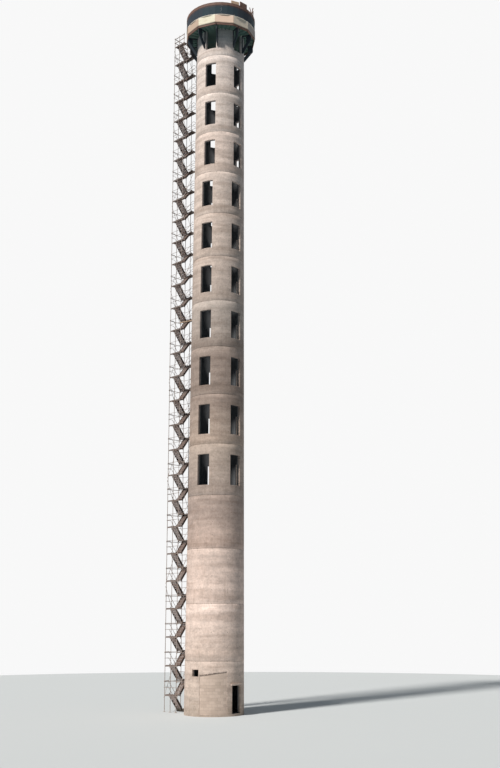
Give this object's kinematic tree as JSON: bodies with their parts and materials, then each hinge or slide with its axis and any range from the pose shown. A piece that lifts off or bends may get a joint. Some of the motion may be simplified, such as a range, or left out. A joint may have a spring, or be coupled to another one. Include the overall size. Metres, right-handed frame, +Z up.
{
  "type": "communication tower at 1:2 scale",
  "caption": "Tall round concrete tower shaft under construction, with rows of tall windows, a formed deck and drum on raking brackets, and a scaffold stair tower beside it.",
  "frame": {"origin": "middle of the flat underside of the footing slab, at ground level on the shaft's axis", "axes": "+Z up along the shaft; -Y towards the viewer of the picture; the stair tower stands towards -X and +Y"},
  "size_m": [3.9922, 3.4442, 30.79],
  "materials": {
    "bracket_steel": "dark, worn",
    "deck_formwork": "dark, film faced",
    "drum_forms": "dark film faced board",
    "edge_boards": "pale planed boards",
    "infill_blockwork": "matte, rough",
    "rim_timber": "weathered timber",
    "scaffold_steel": "rusty tube",
    "shaft_concrete": "matte, cast in lifts",
    "stair_planks": "rusty sheet",
    "stair_timber": "weathered timber",
    "tan_board": "raw timber"
  },
  "bodies": {
    "root": {"access_infill": "infill_blockwork", "deck_brackets": "bracket_steel", "deck_slab": "deck_formwork", "door_canopy": "shaft_concrete", "door_lintel": "shaft_concrete", "drum_panels": "drum_forms", "drum_rim": "rim_timber", "drum_sole": "edge_boards", "edge_panels": "edge_boards", "foot_wall_back": "shaft_concrete", "foot_wall_by_door": "shaft_concrete", "foot_wall_left": "shaft_concrete", "foot_wall_over_access": "shaft_concrete", "foot_wall_right": "shaft_concrete", "foot_wall_vent": "shaft_concrete", "footing_slab": "shaft_concrete", "rim_board": "rim_timber", "rim_offcut": "tan_board", "rim_posts": "scaffold_steel", "shaft_pier_1": "shaft_concrete", "shaft_pier_2": "shaft_concrete", "shaft_pier_3": "shaft_concrete", "shaft_pier_4": "shaft_concrete", "shaft_pier_5": "shaft_concrete", "shaft_spandrels_1": "shaft_concrete", "shaft_spandrels_2": "shaft_concrete", "shaft_spandrels_3": "shaft_concrete", "shaft_spandrels_4": "shaft_concrete", "shaft_spandrels_5": "shaft_concrete", "stair_base_plates": "scaffold_steel", "stair_bottom_step": "stair_timber", "stair_landings_inner": "stair_planks", "stair_landings_outer": "stair_planks", "stair_ledgers_far": "scaffold_steel", "stair_ledgers_near": "scaffold_steel", "stair_standards": "scaffold_steel", "stair_stringers_lower": "scaffold_steel", "stair_stringers_middle": "scaffold_steel", "stair_stringers_upper": "scaffold_steel", "stair_ties": "scaffold_steel", "stair_top_guard": "scaffold_steel", "stair_transoms": "scaffold_steel", "stair_treads_lower": "stair_planks", "stair_treads_middle": "stair_planks", "stair_treads_upper": "stair_planks"}
  },
  "joints": []
}
